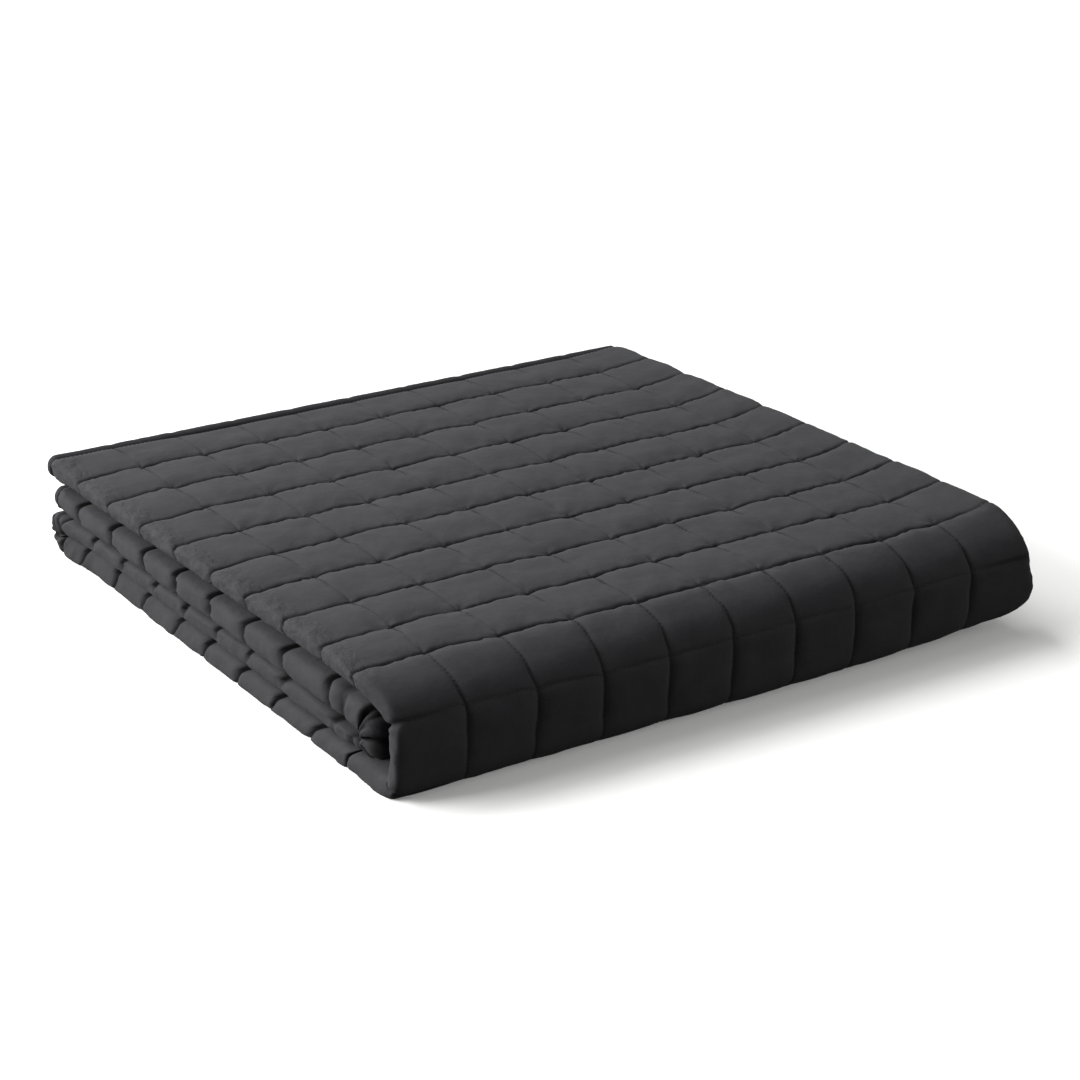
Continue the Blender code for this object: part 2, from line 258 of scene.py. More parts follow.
@dataclass
class FoldPath:
    """The blanket's folded middle line, sampled every millimetre or so.

    Once made, it also holds table (the samples, a row for each name in SAMPLED), length (to the
    last stitched end, in mm) and pitch (distance between two row seams, in mm).

    Attributes:
        square: Side of a quilted square across the blanket, in mm.
        rows: Squares along the blanket.
        binding_width: Width of the bound edge at each end, in mm.
        hem_depth: Where the top layer's stitched end lies, in mm.
        hem_height: Height of the middle line there, in mm.
        step: Sampling distance, in mm.
    """

    square: float = 50.0
    rows: int = 40
    binding_width: float = 6.0
    hem_depth: float = 444.0
    hem_height: float = -7.6
    step: float = 1.0

    def __post_init__(self) -> None:
        """Walk through the runs: each step turns by its share of the run's turn and moves on."""
        along, depth, height, heading = self.binding_width, self.hem_depth, self.hem_height, math.pi
        shape = np.array([8.2, 0.6, 0.6, -1.0, RUNS[0].right])
        samples = [np.array([along, depth, height, heading, *shape, 0.0])]
        for number, run in enumerate(RUNS):
            if run.radius is None:
                length = abs((run.to_y - depth) / math.cos(heading))
            else:
                length = run.radius * math.radians(abs(run.turn))
            count = max(4, round(length / self.step))
            half_turn = math.radians(run.turn) / count / 2.0
            start, end = shape, np.array([run.half, run.rows, run.columns, run.left, run.right])
            for index in range(count):
                heading += half_turn
                depth += math.cos(heading) * length / count
                height += math.sin(heading) * length / count
                heading += half_turn
                shape = start + (end - start) * (index + 1) / count
                stretch = 1.0 if run.radius is None else 1.0 + shape[0] / run.radius
                along += stretch * length / count
                samples.append(np.array([along, depth, height, heading, *shape, float(number)]))
        self.table = np.stack(samples, axis=1)
        self.length = self.table[0, -1]
        self.pitch = (self.length + self.binding_width) / self.rows

    def at(self, along: Array) -> dict[str, Array]:
        """Look the path up at distances along the blanket's face.

        Args:
            along: Distances from the first stitched end, in mm.

        Returns:
            Depth, height, heading and the section's sizes at those distances.
        """
        return {name: np.interp(along, self.table[0], row)
                for name, row in zip(SAMPLED[1:], self.table[1:])}

    def sample(self, index: int) -> dict[str, float]:
        """Return one sample's values by name; index 0 is the first and -1 the last."""
        return dict(zip(SAMPLED, self.table[:, index]))

    def run_end(self, name: str) -> float:
        """Return how far along the blanket the named run ends, in mm."""
        number = [run.name for run in RUNS].index(name)
        return float(self.table[0][self.table[SAMPLED.index("run")] == number][-1])


# Places along the blanket, in squares: the top layer's shoulder before the wrap, the back fold
# and the inner fold.
SHOULDER_ROW = 9.0
BACK_FOLD_ROW = 21.0
INNER_FOLD_ROW = 30.6

# Distances from the middle, in mm, between which something grows towards the folded sides: the
# lean of the cloth's lines, the taper and hang of the left folds, and the cloth's slackness.
LEAN_ZONE = (195.0, 238.0)
TAPER_ZONE = (205.0, 243.0)
SLACK_ZONE = (226.0, 244.0)
# Sines of the angle round a folded side between which the inward side gives way to the face.
FACE_ZONE = (-0.6, 0.6)

# How far the seams stand before (-) or after (+) their even places along the left folds, for each
# row seam, in mm: the folded plies slip a little on each other, most between the lower layers.
LEFT_SLIP = (0.0,) * 8 + (
    -2.0, -6.5, -5.0, 0.0, 9.0, 9.0, 12.0, 7.5, 8.0, 4.0, 5.5, 2.0, 1.0, -8.0, -18.0, -27.0, -31.0,
    -31.0, -37.0, -41.0, -47.0, -48.0, -31.0, -8.0, -4.0, 1.5, 3.0, 6.0, 6.5, 3.0, 4.0, 3.0, 0.0)


class Gather(NamedTuple):
    """A gathered crease: its place along the blanket, half width and depth in mm, and how far it
    leans along the blanket for each radian round the folded side, in mm."""

    place: float
    width: float
    depth: float
    lean: float


# The creases at the left ends of the back fold (five) and of the inner fold, listed one by one.
FOLD_GATHERS = (
    Gather(1029.0, 2.4, 5.0, -2.0),
    Gather(1048.0, 2.3, 4.6, 0.0),
    Gather(1056.0, 2.6, 6.0, 1.0),
    Gather(1069.0, 2.2, 4.4, 2.0),
    Gather(1081.0, 2.4, 2.4, -1.0),
    Gather(1500.0, 2.6, 2.6, 2.0),
    Gather(1513.0, 2.4, 4.4, -3.0),
    Gather(1524.0, 2.0, 3.4, 2.0),
    Gather(1538.0, 2.6, 4.8, 3.0),
    Gather(1562.0, 2.8, 5.6, 2.0),
    Gather(1592.0, 5.0, 3.4, -1.0),
)

# How far the row seams swing along the blanket on their way round the left folds, by layer: lean
# from the face to the inward side, and bow between them, in mm.
SIDE_LEANS = {
    Layer.TOP: (4.0, 0.0),
    Layer.BOTTOM: (-15.0, 0.0),
    Layer.THIRD: (-6.0, 0.0),
    Layer.SECOND: (7.0, 3.0),
}


class Notch(NamedTuple):
    """What a layer's row seams draw into its folded sides.

    left and right are its depth on each side and width its half width, in mm; face and inward
    share it out round the side, and face_dark and inward_dark say how dark its crease is painted
    as shade at each. opening is half the width in mm of the painted shadow in the dark gap that it
    leaves under the layer above: + on the inward side, - on the face, whichever lies on top.
    """

    left: float
    right: float
    width: float
    face: float
    inward: float
    face_dark: float
    inward_dark: float
    opening: float


# The last three columns set the painted shade of each notch's crease at the face and inward side, and
# the half width of its painted shadow gap.
SIDE_NOTCHES = {
    Layer.TOP: Notch(1.1, 0.1, 1.5, 1.0, 0.25, 0.60, 0.05, 0.0),
    Layer.WRAP: Notch(2.4, 0.4, 2.0, 1.0, 0.6, 0.60, 0.30, 0.0),
    Layer.BOTTOM: Notch(3.0, 1.6, 1.9, 0.1, 1.1, 0.65, 1.5, 3.2),
    Layer.THIRD: Notch(2.4, 1.6, 1.8, 1.1, -0.5, 1.3, -0.9, -3.2),
    Layer.INNER: Notch(1.0, 0.8, 1.6, 0.6, 1.0, 0.20, 0.40, 0.0),
    Layer.SECOND: Notch(3.0, 1.6, 2.0, 0.45, 1.0, 0.55, 1.20, 2.2),
}


# ---------------------------------------------------------------- the blanket


@dataclass
class QuiltedBlanket:
    """The filled cloth: a closed tube of rings along the fold path.

    Attributes:
        path: The folded middle line.
        columns: Squares across the folded blanket.
        side_round: How far the rounding of a folded side reaches in, in mm.
        side_power: Squareness of that rounding: 1 is an oval, less is boxier.
        side_out: How far the pillows stand out past the section's sides, in mm.
        plain_margin: Width of the strip at each folded side without column seams, in mm.
        under_tuck: How far the inward side stands back from the face at a fold, in mm.
        inner_tuck: How much further it stands back at the inner fold's left end, in mm.
        hidden_rows: Depth of the row seams on the inward side, in mm.
        crease: Share of a seam's depth that is the narrow crease at its thread.
        crease_width: Half width of that crease, in mm.
        wobble: How far a sewn line strays to either side, in mm.
        row_shade: Painted darkness of a row seam, its thread's line and crease shade: 1 is black.
        column_shade: The same in a column seam.
        gather_dark: Depth from which a gathered crease is painted fully dark as shade, in mm.
        pillow_relief: Unevenness of the filling, in mm.
        pucker: Depth of the small creases where seams cross, in mm.
        pucker_reach: Distance from the crossing at which they have fallen to a third, in mm.
        top_depth: How much deeper the row seams are pressed on the finely shown top, as a share.
        ripple: Height of the small ripples that the thread draws up beside a seam, in mm.
        wrap_thinning: How much thinner the wrap is, on its inward side, towards its left end, in mm.
        hem_dip: How far the top face sinks where the binding's stitches draw it in, in mm.
        edge_taper: How much thinner the upper layers are towards their left folds, in mm.
        shoulder_out: How far the top layer stands out at the left just before the wrap, in mm.
        fold_back: How far the inner fold's left end stands back from the wrap, in mm.
        back_out: How far the back fold's left end stands out to the back, in mm.
        fold_sag: How far the inner fold's plies hang down at its left end, in mm.
        corner_lift: How far the wrap's lower right end stands off the floor, in mm.
        right_lift: How far the top layer's right fold stands up, in mm.
        hem_lift: How far the first end's left corner stands up, in mm.
        long_fold: Depth of the long folds of slack cloth on the folded sides, in mm.
        short_fold: Depth of the short ones, in mm.
        name: The piece's name.
    """

    path: FoldPath
    columns: int = 10
    side_round: float = 8.5
    side_power: float = 0.68
    side_out: float = 1.92
    plain_margin: float = 20.0
    under_tuck: float = 2.5
    inner_tuck: float = 7.0
    hidden_rows: float = 2.4
    crease: float = 0.36
    crease_width: float = 1.5
    wobble: float = 1.1
    row_shade: float = 0.9
    column_shade: float = 0.585
    gather_dark: float = 2.6
    pillow_relief: float = 0.62
    pucker: float = 1.1
    pucker_reach: float = 9.0
    top_depth: float = 0.45
    ripple: float = 0.42
    wrap_thinning: float = 4.5
    hem_dip: float = 1.2
    edge_taper: float = 4.2
    shoulder_out: float = 5.0
    fold_back: float = 8.5
    back_out: float = 4.5
    fold_sag: float = 8.5
    corner_lift: float = 5.5
    right_lift: float = 5.8
    hem_lift: float = 2.4
    long_fold: float = 1.15
    short_fold: float = 0.95
    name: str = "quilted_cover"

    def __post_init__(self) -> None:
        """Set the half width of the folded blanket, in mm."""
        self.half_width = self.path.square * self.columns / 2.0

    # -------- quilting

    def inside(self, x: Array) -> Array:
        """Return 1 where the column seams run, and 0 at the folded sides."""
        return (np.abs(x) < self.half_width - self.plain_margin).astype(float)

    def pillow(self, share: Array, rear: float = 5.0, front: float = 2.2) -> Array:
        """Return how far the cloth has sunk towards a seam: 1 at a seam, 0 in the pillow's middle.

        It is (1 - 2 share) ** rear before the middle and (2 share - 1) ** front after it, so a
        pillow rises steeply behind a seam and slopes gently down to the next one.
        """
        before = np.clip(1.0 - 2.0 * share, 0.0, 1.0) ** rear
        after = np.clip(2.0 * share - 1.0, 0.0, 1.0) ** front
        return before + after

    def slip(self, even: Array, x: Array) -> Array:
        """Return how far the cloth has slipped along the left folds, in mm, from its even places."""
        seams = np.arange(len(LEFT_SLIP)) * self.path.pitch
        return np.interp(even, seams, LEFT_SLIP) * smooth_step(-x, 60.0, 200.0)

    def row_stray(self, x: Array, row: Array) -> Array:
        """Return how far a row seam lies before its even place, in mm, kinked at each column."""
        stray = soft_noise(x / 15.0, row * 3.7 + 0.5, 11)
        stray = stray + 0.8 * soft_noise(x / 4.0, row * 5.1 + 0.5, 12)
        column = np.round((x + self.half_width) / self.path.square)
        off = x + self.half_width - column * self.path.square
        turn = soft_noise(row * 1.9 + 0.5, column * 3.1 + 0.5, 18)
        pull = 0.8 + soft_noise(row * 2.7 + 0.5, column * 1.7 + 0.5, 19)
        kink = (1.3 * turn * off / 4.0 - 1.1 * pull) * bell(off, 5.0) * self.inside(x)
        return self.wobble * stray + kink

    def column_stray(self, even: Array, column: Array) -> Array:
        """Return how far a column seam lies to the left of its even place, in mm."""
        return 0.9 * self.wobble * soft_noise(even / 13.0, column * 4.3 + 0.5, 13)

    def column_fade(self, even: Array, share: Array, column: Array) -> Array:
        """Return how much of a column seam shows on top, fading from one row seam to the next.

        It is 0.26 + 0.8 * bell(share, 0.36) + 0.5 * bell(1 - share, 0.09), times 1 + an unevenness.

        Args:
            even: Distances along the face, in mm.
            share: How far on from one row seam to the next, from 0 to 1.
            column: The column seam's number.

        Returns:
            The share that shows, from 0.06 to 1.
        """
        fade = 0.26 + 0.80 * bell(share, 0.36) + 0.5 * bell(1.0 - share, 0.09)
        return np.clip(fade * (1.0 + 0.6 * soft_noise(even / 8.0, column * 2.9 + 0.5, 14)), 0.06, 1.0)

    def seam_depth(self, even: Array, x: Array, at: dict[str, Array]) -> tuple[Array, Array, Array]:
        """Work out how deep the seams press into the face.

        With r and c the closeness to a row and a column seam, each times its share of the deeper
        one, depth = deeper * (1 - (1 - r) * (1 - c)), and each closeness is a pillow's slope plus a
        narrow crease at the thread. Ripples that the thread draws up beside it are added.

        Args:
            even: Distances along the face, in mm, before any slip.
            x: Places across it, in mm.
            at: The path's sizes at those distances.

        Returns:
            The depth in mm, the closeness to a row seam, and the painted darkness, from 0 to 1: the
            thread's own line and painted shade in its crease.
        """
        pitch, square, inside = self.path.pitch, self.path.square, self.inside(x)
        row_number = np.round(even / pitch)
        stray = self.row_stray(x, row_number)
        row_share = ((even + stray * bell(even - row_number * pitch, 16.0)) / pitch) % 1.0
        row_gap = np.minimum(row_share, 1.0 - row_share) * pitch
        across = x + self.half_width
        column_number = np.round(across / square)
        column_share = ((across + self.column_stray(even, column_number)) / square) % 1.0
        column_gap = np.minimum(column_share, 1.0 - column_share) * square
        on_wrap = smooth_step(at["heading"], math.pi + 0.15, math.pi + 0.8)
        fade = self.column_fade(even, row_share, column_number) * (1.0 - on_wrap) + on_wrap
        row = (1.0 - self.crease) * self.pillow(row_share)
        row = row + self.crease * bell(row_gap, self.crease_width)
        width = self.crease_width * (1.0 + 0.7 * on_wrap)
        column = 0.6 * self.pillow(column_share, 3.4, 3.4) + 0.4 * bell(column_gap, width)
        column = column * inside * fade
        deepened = self.top_depth * (1.0 - on_wrap) * smooth_step(at["rows"], 1.7, 2.4)
        rows = at["rows"] * (1.0 + deepened)
        rows = rows * (1.0 - 0.7 * smooth_step(x, self.half_width - 30.0, self.half_width - 4.0))
        rows = rows * (1.0 + 0.3 * soft_noise(x / 31.0, even / pitch * 1.3, 20))
        deeper = np.maximum(rows, at["columns"])
        depth = deeper * (1.0 - (1.0 - rows / deeper * row) * (1.0 - at["columns"] / deeper * column))
        beside_row = soft_noise(x / 3.4, row_number * 7.3 + 0.5, 15) * bell(row_gap - 3.0, 3.5)
        beside_column = soft_noise(even / 3.6, column_number * 6.1 + 0.5, 16)
        beside_column = beside_column * bell(column_gap - 2.5, 3.0)
        ripple = (beside_row + 0.6 * beside_column * inside) * (1.0 - 0.5 * on_wrap)
        depth = depth + self.ripple * ripple * smooth_step(rows, 0.3, 1.5)
        uneven = 0.35 * soft_noise(x / 6.0, row_number * 2.7 + 0.5, 17)
        uneven = uneven + 0.3 * soft_noise(x / 21.0, row_number * 4.9, 23)
        strength = smooth_step(rows, 0.6, 2.6) * (1.0 - 0.6 * on_wrap) * (1.0 + uneven)
        # Painted shade: each seam's line is painted dark, partly as the thread's own line and mostly
        # as shade in its crease.
        row_thread_and_painted_shade = self.row_shade * bell(row_gap, 1.5 + 0.6 * uneven) * np.clip(strength, 0.0, 1.0)
        column_thread_and_painted_shade = self.column_shade * bell(column_gap, 1.1) * inside * np.clip(fade, 0.0, 1.0)
        return depth, row, np.maximum(row_thread_and_painted_shade, column_thread_and_painted_shade)

    def puckers(self, along: Array, x: Array) -> Array:
        """Return the small creases where seams cross, in mm, as a depth.

        Around each crossing, depth = pucker * exp(-distance / reach) * cos(lobes * angle + turn)
        ** 6, where the number of lobes and the turn differ from crossing to crossing.
        """
        pitch, square = self.path.pitch, self.path.square
        row, column = np.round(along / pitch), np.round((x + self.half_width) / square)
        off_row, off_column = along - row * pitch, x + self.half_width - column * square
        away = np.hypot(off_row, off_column)
        angle = np.arctan2(off_row, off_column)
        turn = 3.0 * soft_noise(row * 1.7 + 0.5, column * 2.3 + 0.5, 21)
        lobes = np.round(2.5 + 0.9 * soft_noise(row * 2.9 + 0.5, column * 1.3 + 0.5, 22))
        star = np.cos(lobes * angle + turn) ** 6
        return self.pucker * np.exp(-away / self.pucker_reach) * star * self.inside(x)

    def filling(self, along: Array, x: Array) -> Array:
        """Return the unevenness of the beads and padding under the cloth, in mm."""
        large = soft_noise(x / 23.0, along / 21.0, 31)
        small = soft_noise(x / 8.0, along / 9.0, 32)
        pulled = soft_noise((x + 0.7 * along) / 8.0, (along - 0.6 * x) / 24.0, 33)
        return self.pillow_relief * (large + 0.35 * small + 0.4 * pulled)

    # -------- lifts shared with the CAD solid

    def right_rise(self, along: Array, x: Array) -> Array:
        """Return the top layer's lift towards its right fold, in mm."""
        grows = 0.5 + 0.5 * np.minimum(1.0, along / 160.0)
        fades = np.clip((510.0 - along) / 50.0, 0.0, 1.0)
        return self.right_lift * grows * fades * np.clip((x - 190.0) / 60.0, 0.0, 1.0) ** 2

    def hem_rise(self, along: Array, x: Array) -> Array:
        """Return the lift of the top layer's stitched end, full at its left fold, in mm."""
        onward = np.maximum(0.0, 1.0 - along / 60.0)
        return self.hem_lift * onward * np.clip((-x - 130.0) / 80.0, 0.0, 1.0)

    # -------- rings

    def ring_stations(self, per_square: Array) -> tuple[Array, Array, Array]:
        """Lay out the points of a ring, from the middle of its inward side round to the same place.

        Args:
            per_square: Shares of a square at which the face's points stand.

        Returns:
            For each point: a place across the blanket in mm, the angle round a folded side (pi / 2
            on the face, -pi / 2 on the inward side), and its place along the ring's own line in mm.
        """
        half, round_start = self.half_width, self.half_width - self.side_round
        face = (np.arange(self.columns)[:, None] + per_square[None, :]).reshape(-1)
        face = face * self.path.square - half
        face = face[np.abs(face) < round_start - 1.0]
        angles = np.linspace(math.pi / 2, -math.pi / 2, 15)
        arc = (math.pi / 2 - angles) * 9.0
        hidden = np.array([30.0, 90.0, 145.0, 185.0, 208.0, 223.0, 233.0])
        left_arc, right_arc = np.full(len(angles), -round_start), np.full(len(angles), round_start)
        x = np.concatenate([-hidden, left_arc, face, right_arc, hidden[::-1]])
        inward = np.full(len(hidden), -math.pi / 2)
        upward = np.full(len(face), math.pi / 2)
        angle = np.concatenate([inward, angles[::-1], upward, angles, inward])
        past = round_start + arc
        rest = round_start + arc[-1] + (round_start - hidden[::-1])
        line = np.concatenate([-rest[::-1], -past[::-1], face, past, rest])
        return x, angle, line

    def thinning(self, even: Array, sine: Array, wedge: Array) -> Array:
        """Return how much thinner the cloth is than its section, in mm.

        The wrap and the upper layers thin out towards their left folds, most on the inward side,
        and the face dips beside the binding's stitches.

        Args:
            even: Distances along the blanket, in mm.
            sine: 1 on the face, -1 on the inward side, and between them round a folded side.
            wedge: 1 at the left folds, falling to 0 further in.

        Returns:
            The thinning in mm.
        """
        rows = even / self.path.pitch
        inward = 1.0 - smooth_step(sine, *FACE_ZONE)
        wrap = Layer.WRAP.share(rows) * (1.0 - smooth_step(rows, 10.5, 11.1)) * inward
        upper = Layer.TOP.share(rows) * (0.35 + 0.65 * inward)
        upper = upper + 0.6 * Layer.SECOND.share(rows) * inward
        upper = upper * smooth_step(np.minimum(rows, self.path.rows - rows), 0.15, 0.7)
        dip = self.hem_dip * bell(even - self.path.binding_width, 3.6) * (sine > 0.0)
        return (self.wrap_thinning * wrap + self.edge_taper * upper) * wedge + dip

    def drape(self, a: Array, rows: Array, x: Array, turned: Array,
              wedge: Array) -> tuple[Array, Array]:
        """Work out how the cloth hangs out of its section at its corners.

        The first end lifts at the left and the wrap's foot at the right; at their left ends the
        back fold stands out, and the inner fold stands back and sags.

        Args:
            a: Distances along the section, in mm.
            rows: Distances along the blanket, in squares.
            x: Places across it, in mm.
            turned: Place round the side, 0 on the face and 1 on the inward side.
            wedge: 1 at the left folds, falling to 0 further in.

        Returns:
            How far the cloth is moved to the back and up, in mm.
        """
        foot = smooth_step(rows, 9.6, 11.0) * (1.0 - smooth_step(rows, 13.0, 15.0))
        loose = bell(rows - INNER_FOLD_ROW, 0.75) * wedge
        hanging = bell(a - self.path.run_end("third front") - 14.0, 7.0) * wedge * turned
        back = self.fold_back * loose + self.back_out * bell(rows - BACK_FOLD_ROW, 0.9) * wedge
        up = self.hem_rise(a, x) + self.corner_lift * foot * smooth_step(x, 110.0, 250.0)
        return back, up - self.fold_sag * (loose * (1.0 - turned) + hanging)

    def points(self, even: Array, x: Array, angle: Array) -> tuple[Array, Array, Array]:
        """Work out points of the cloth's surface.

        A point lies at the middle line + normal * offset, where the offset is half the thickness,
        less the seams' depth, times sin(angle) ** power; round a folded side x is edge - round *
        (1 - cos(angle) ** power).

        Args:
            even: Distances along the blanket in mm, as a column.
            x: Places across the flat parts in mm, as a row or a column.
            angle: Angles round a folded side, as a row or a column.

        Returns:
            Places in the part's frame in mm, shape (rings, points, 3), each one's painted darkness
            (the sewn line's own, and painted shade in deep creases and gaps between layers), and how
            slack the cloth is there.
        """
        rows, away = even / self.path.pitch, np.abs(x)
        sine, cosine = np.sin(angle), np.maximum(np.cos(angle), 0.0)
        turned, left = (1.0 - sine) / 2.0, (x < 0.0).astype(float)
        face_side = smooth_step(sine, *FACE_ZONE)
        side, wedge = smooth_step(away, *LEAN_ZONE), smooth_step(away, *TAPER_ZONE) * left
        a = even + self.slip(even, x) + side * self.seam_lean(rows, turned, left)
        at = self.path.at(a)
        gather = self.gathers(a, angle) * left
        notch, side_painted_shade, side_row = self.side_notches(rows, turned, left)

        depth, row, thread = self.seam_depth(even, x, at)
        depth = depth + self.puckers(even, x) * smooth_step(at["rows"], 1.0, 2.0)
        from_side = np.maximum(self.half_width - away, 0.0)
        weak = 0.8 * left * bell(from_side, 16.0)
        hidden = self.hidden_rows * side_row * (1.0 - face_side)
        sink = depth * face_side * (1.0 - Layer.BOTTOM.share(rows) * weak)
        sink = sink + hidden * (1.0 - Layer.THIRD.share(rows) * weak)
        sink = sink + 0.25 * gather * bell(from_side, 14.0)
        lump = self.filling(a, x) * (1.0 - row) * np.where(at["rows"] > 1.1, 1.0, 0.5)
        thick = at["half"] - sink + lump * face_side - self.thinning(even, sine, wedge)

        from_end = np.minimum(even, self.path.length - even) - self.path.binding_width
        edge = self.half_width + self.side_out - np.where(x < 0, at["left"], at["right"]) - notch
        edge = edge - gather * (0.22 + 0.78 * smooth_step(turned, 0.05, 0.55))
        edge = edge - self.under_tuck * turned
        edge = edge - self.inner_tuck * left * turned * bell(rows - INNER_FOLD_ROW, 0.3)
        edge = edge - self.hem_dip * bell(from_end, 5.0)
        round_start = self.half_width - self.side_round
        near_edge = smooth_step(away, self.half_width - 50.0, round_start)
        bulge = np.where(np.abs(away - round_start) < 1e-6, cosine ** self.side_power, 0.0)
        crumple = self.side_folds(a, angle, x) * (0.7 + 0.5 * bell(side_row - 0.6, 0.5))
        shoulder = bell(rows - SHOULDER_ROW, 0.7) * left * smooth_step(away, 120.0, 245.0)
        out = away + near_edge * (edge - self.half_width) + bulge * (self.side_round + crumple)
        out = out + self.shoulder_out * shoulder * (1.0 - 0.5 * turned)

        share = np.sign(sine) * np.abs(sine) ** self.side_power
        offset = thick * share + 0.45 * crumple * bulge * (1.0 - np.abs(share))
        offset = offset + self.right_rise(a, x) * np.where(sine > 0.0, 1.0, 0.6) * (share > 0.2)
        back, up = self.drape(a, rows, x, turned, wedge)
        y = at["depth"] + np.sin(at["heading"]) * offset + back
        z = at["height"] - np.cos(at["heading"]) * offset + up
        points = np.stack([np.broadcast_to(np.where(x < 0, -out, out), y.shape) + SHIFT_X,
                           y - ORIGIN[1], np.maximum(z - ORIGIN[2], 0.0)], axis=-1)

        # Painted shade: seam lines, notch creases and shadow gaps, and gathered creases are joined
        # here.
        thread = np.maximum(thread * face_side * (1.0 - side * turned), side_painted_shade * side)
        # Painted shade: gathered creases are painted dark, fully from gather_dark deep.
        thread = np.maximum(thread, np.clip(gather / self.gather_dark, 0.0, 1.0) ** 1.4 * side)
        slack = smooth_step(away, *SLACK_ZONE) * (0.3 + 0.7 * left * Layer.TOP.share(rows))
        slack = slack * (1.0 - 0.8 * Layer.WRAP.share(rows))
        return points, thread, np.broadcast_to(slack, thread.shape)

    def seam_lean(self, rows: Array, turned: Array, left: Array) -> Array:
        """Return how far the cloth's lines swing along the blanket on their way round a folded side.

        They lean by lean * turned and bow by bow * 4 turned (1 - turned), where turned goes from 0
        on the face to 1 on the inward side, and lean and bow differ by layer and from seam to seam.

        Args:
            rows: Distance along the blanket, in squares.
            turned: Place round the side.
            left: 1 on the left, 0 on the right.

        Returns:
            The swing in mm.
        """
        top = Layer.TOP.share(rows)
        lean = (1.0 - top) * 2.4 * soft_noise(rows, 3.0 + 9.0 * left, 61)
        bow = (1.0 - 0.6 * top) * 2.8 * soft_noise(rows, 5.0 + 9.0 * left, 62)
        for layer, (layer_lean, layer_bow) in SIDE_LEANS.items():
            lean = lean + layer_lean * layer.share(rows) * left
            bow = bow + layer_bow * layer.share(rows) * left
        return lean * turned + bow * 4.0 * turned * (1.0 - turned)

    def side_notches(self, rows: Array, turned: Array, left: Array) -> tuple[Array, Array, Array]:
        """Work out how the row seams draw in the folded sides.

        A notch is its layer's depth * bell(distance, width), both scaled by its share at that place
        round the side, plus a broad pillow's slope. Its crease gets painted shade, and where the layer
        above leaves an opening, a wedge of painted shadow bell(distance - 0.4 * opening, opening) is
        added at the top.

        Args:
            rows: Distance along the blanket, in squares.
            turned: Place round the side, 0 on the face and 1 on the inward side.
            left: 1 on the left, 0 on the right.

        Returns:
            The notch in mm, the painted shade of its crease and gap, and the closeness to a row seam.
        """
        part = rows % 1.0
        past = (part - np.round(part)) * self.path.pitch
        near = 0.5 * self.pillow(part, 9.0, 7.0) + 0.5 * bell(past, self.crease_width)
        depth, thread = np.zeros_like(turned * rows), np.zeros_like(turned * rows)
        uneven = 1.0 + 0.35 * soft_noise(np.round(rows), 2.0 + 7.0 * left, 63)
        off_back = smooth_step(np.abs(rows - BACK_FOLD_ROW - 0.5), 0.6, 1.2)
        for layer, notch in SIDE_NOTCHES.items():
            reach = np.clip(notch.face + (notch.inward - notch.face) * turned, 0.0, 1.0)
            deep = reach * (notch.right + (notch.left - notch.right) * left) * uneven
            shape = bell(past, notch.width * (0.55 + 0.75 * reach))
            shape = shape + 0.35 * self.pillow(part, 7.0, 6.0)
            # Painted shade: the crease is painted dark at each place round the side.
            dark = notch.face_dark + (notch.inward_dark - notch.face_dark) * turned
            dark = np.clip(dark, 0.0, 1.0)
            shade = dark * bell(past, 1.2 + 0.4 * notch.width * reach)
            # Painted shadow: a dark wedge stands in the gap under the layer above.
            if notch.opening:
                high = turned if notch.opening > 0.0 else 1.0 - turned
                wedge = bell(past - 0.4 * notch.opening, np.abs(notch.opening) * uneven) * off_back
                shade = shade + 1.5 * smooth_step(high, 0.55, 0.82) * wedge
            depth = depth + layer.share(rows) * deep * shape
            thread = thread + layer.share(rows) * shade
        return depth, np.clip(thread, 0.0, 1.0), near

    def gathers(self, along: Array, angle: Array) -> Array:
        """Return the depth of the gathered creases at the left ends of the turns, in mm.

        Each is depth * bell(distance from its line, width), and its line leans with the angle.
        """
        total = np.zeros(np.broadcast_shapes(along.shape, angle.shape))
        for crease in FOLD_GATHERS:
            away = along - crease.place - crease.lean * angle
            total = total + crease.depth * bell(away, crease.width)
        return total

    def side_folds(self, along: Array, angle: Array, x: Array) -> Array:
        """Return the small folds of slack cloth on the folded sides, in mm."""
        right = np.where(x > 0, 40.0, 0.0)
        long_folds = soft_noise(along / 9.0 + 1.5 * angle + right, angle * 1.2 + 3.0 + right, 41)
        short_folds = soft_noise(along / 4.5 - 2.0 * angle + right, angle * 1.6 + 9.0 + right, 42)
        return self.long_fold * long_folds + self.short_fold * short_folds

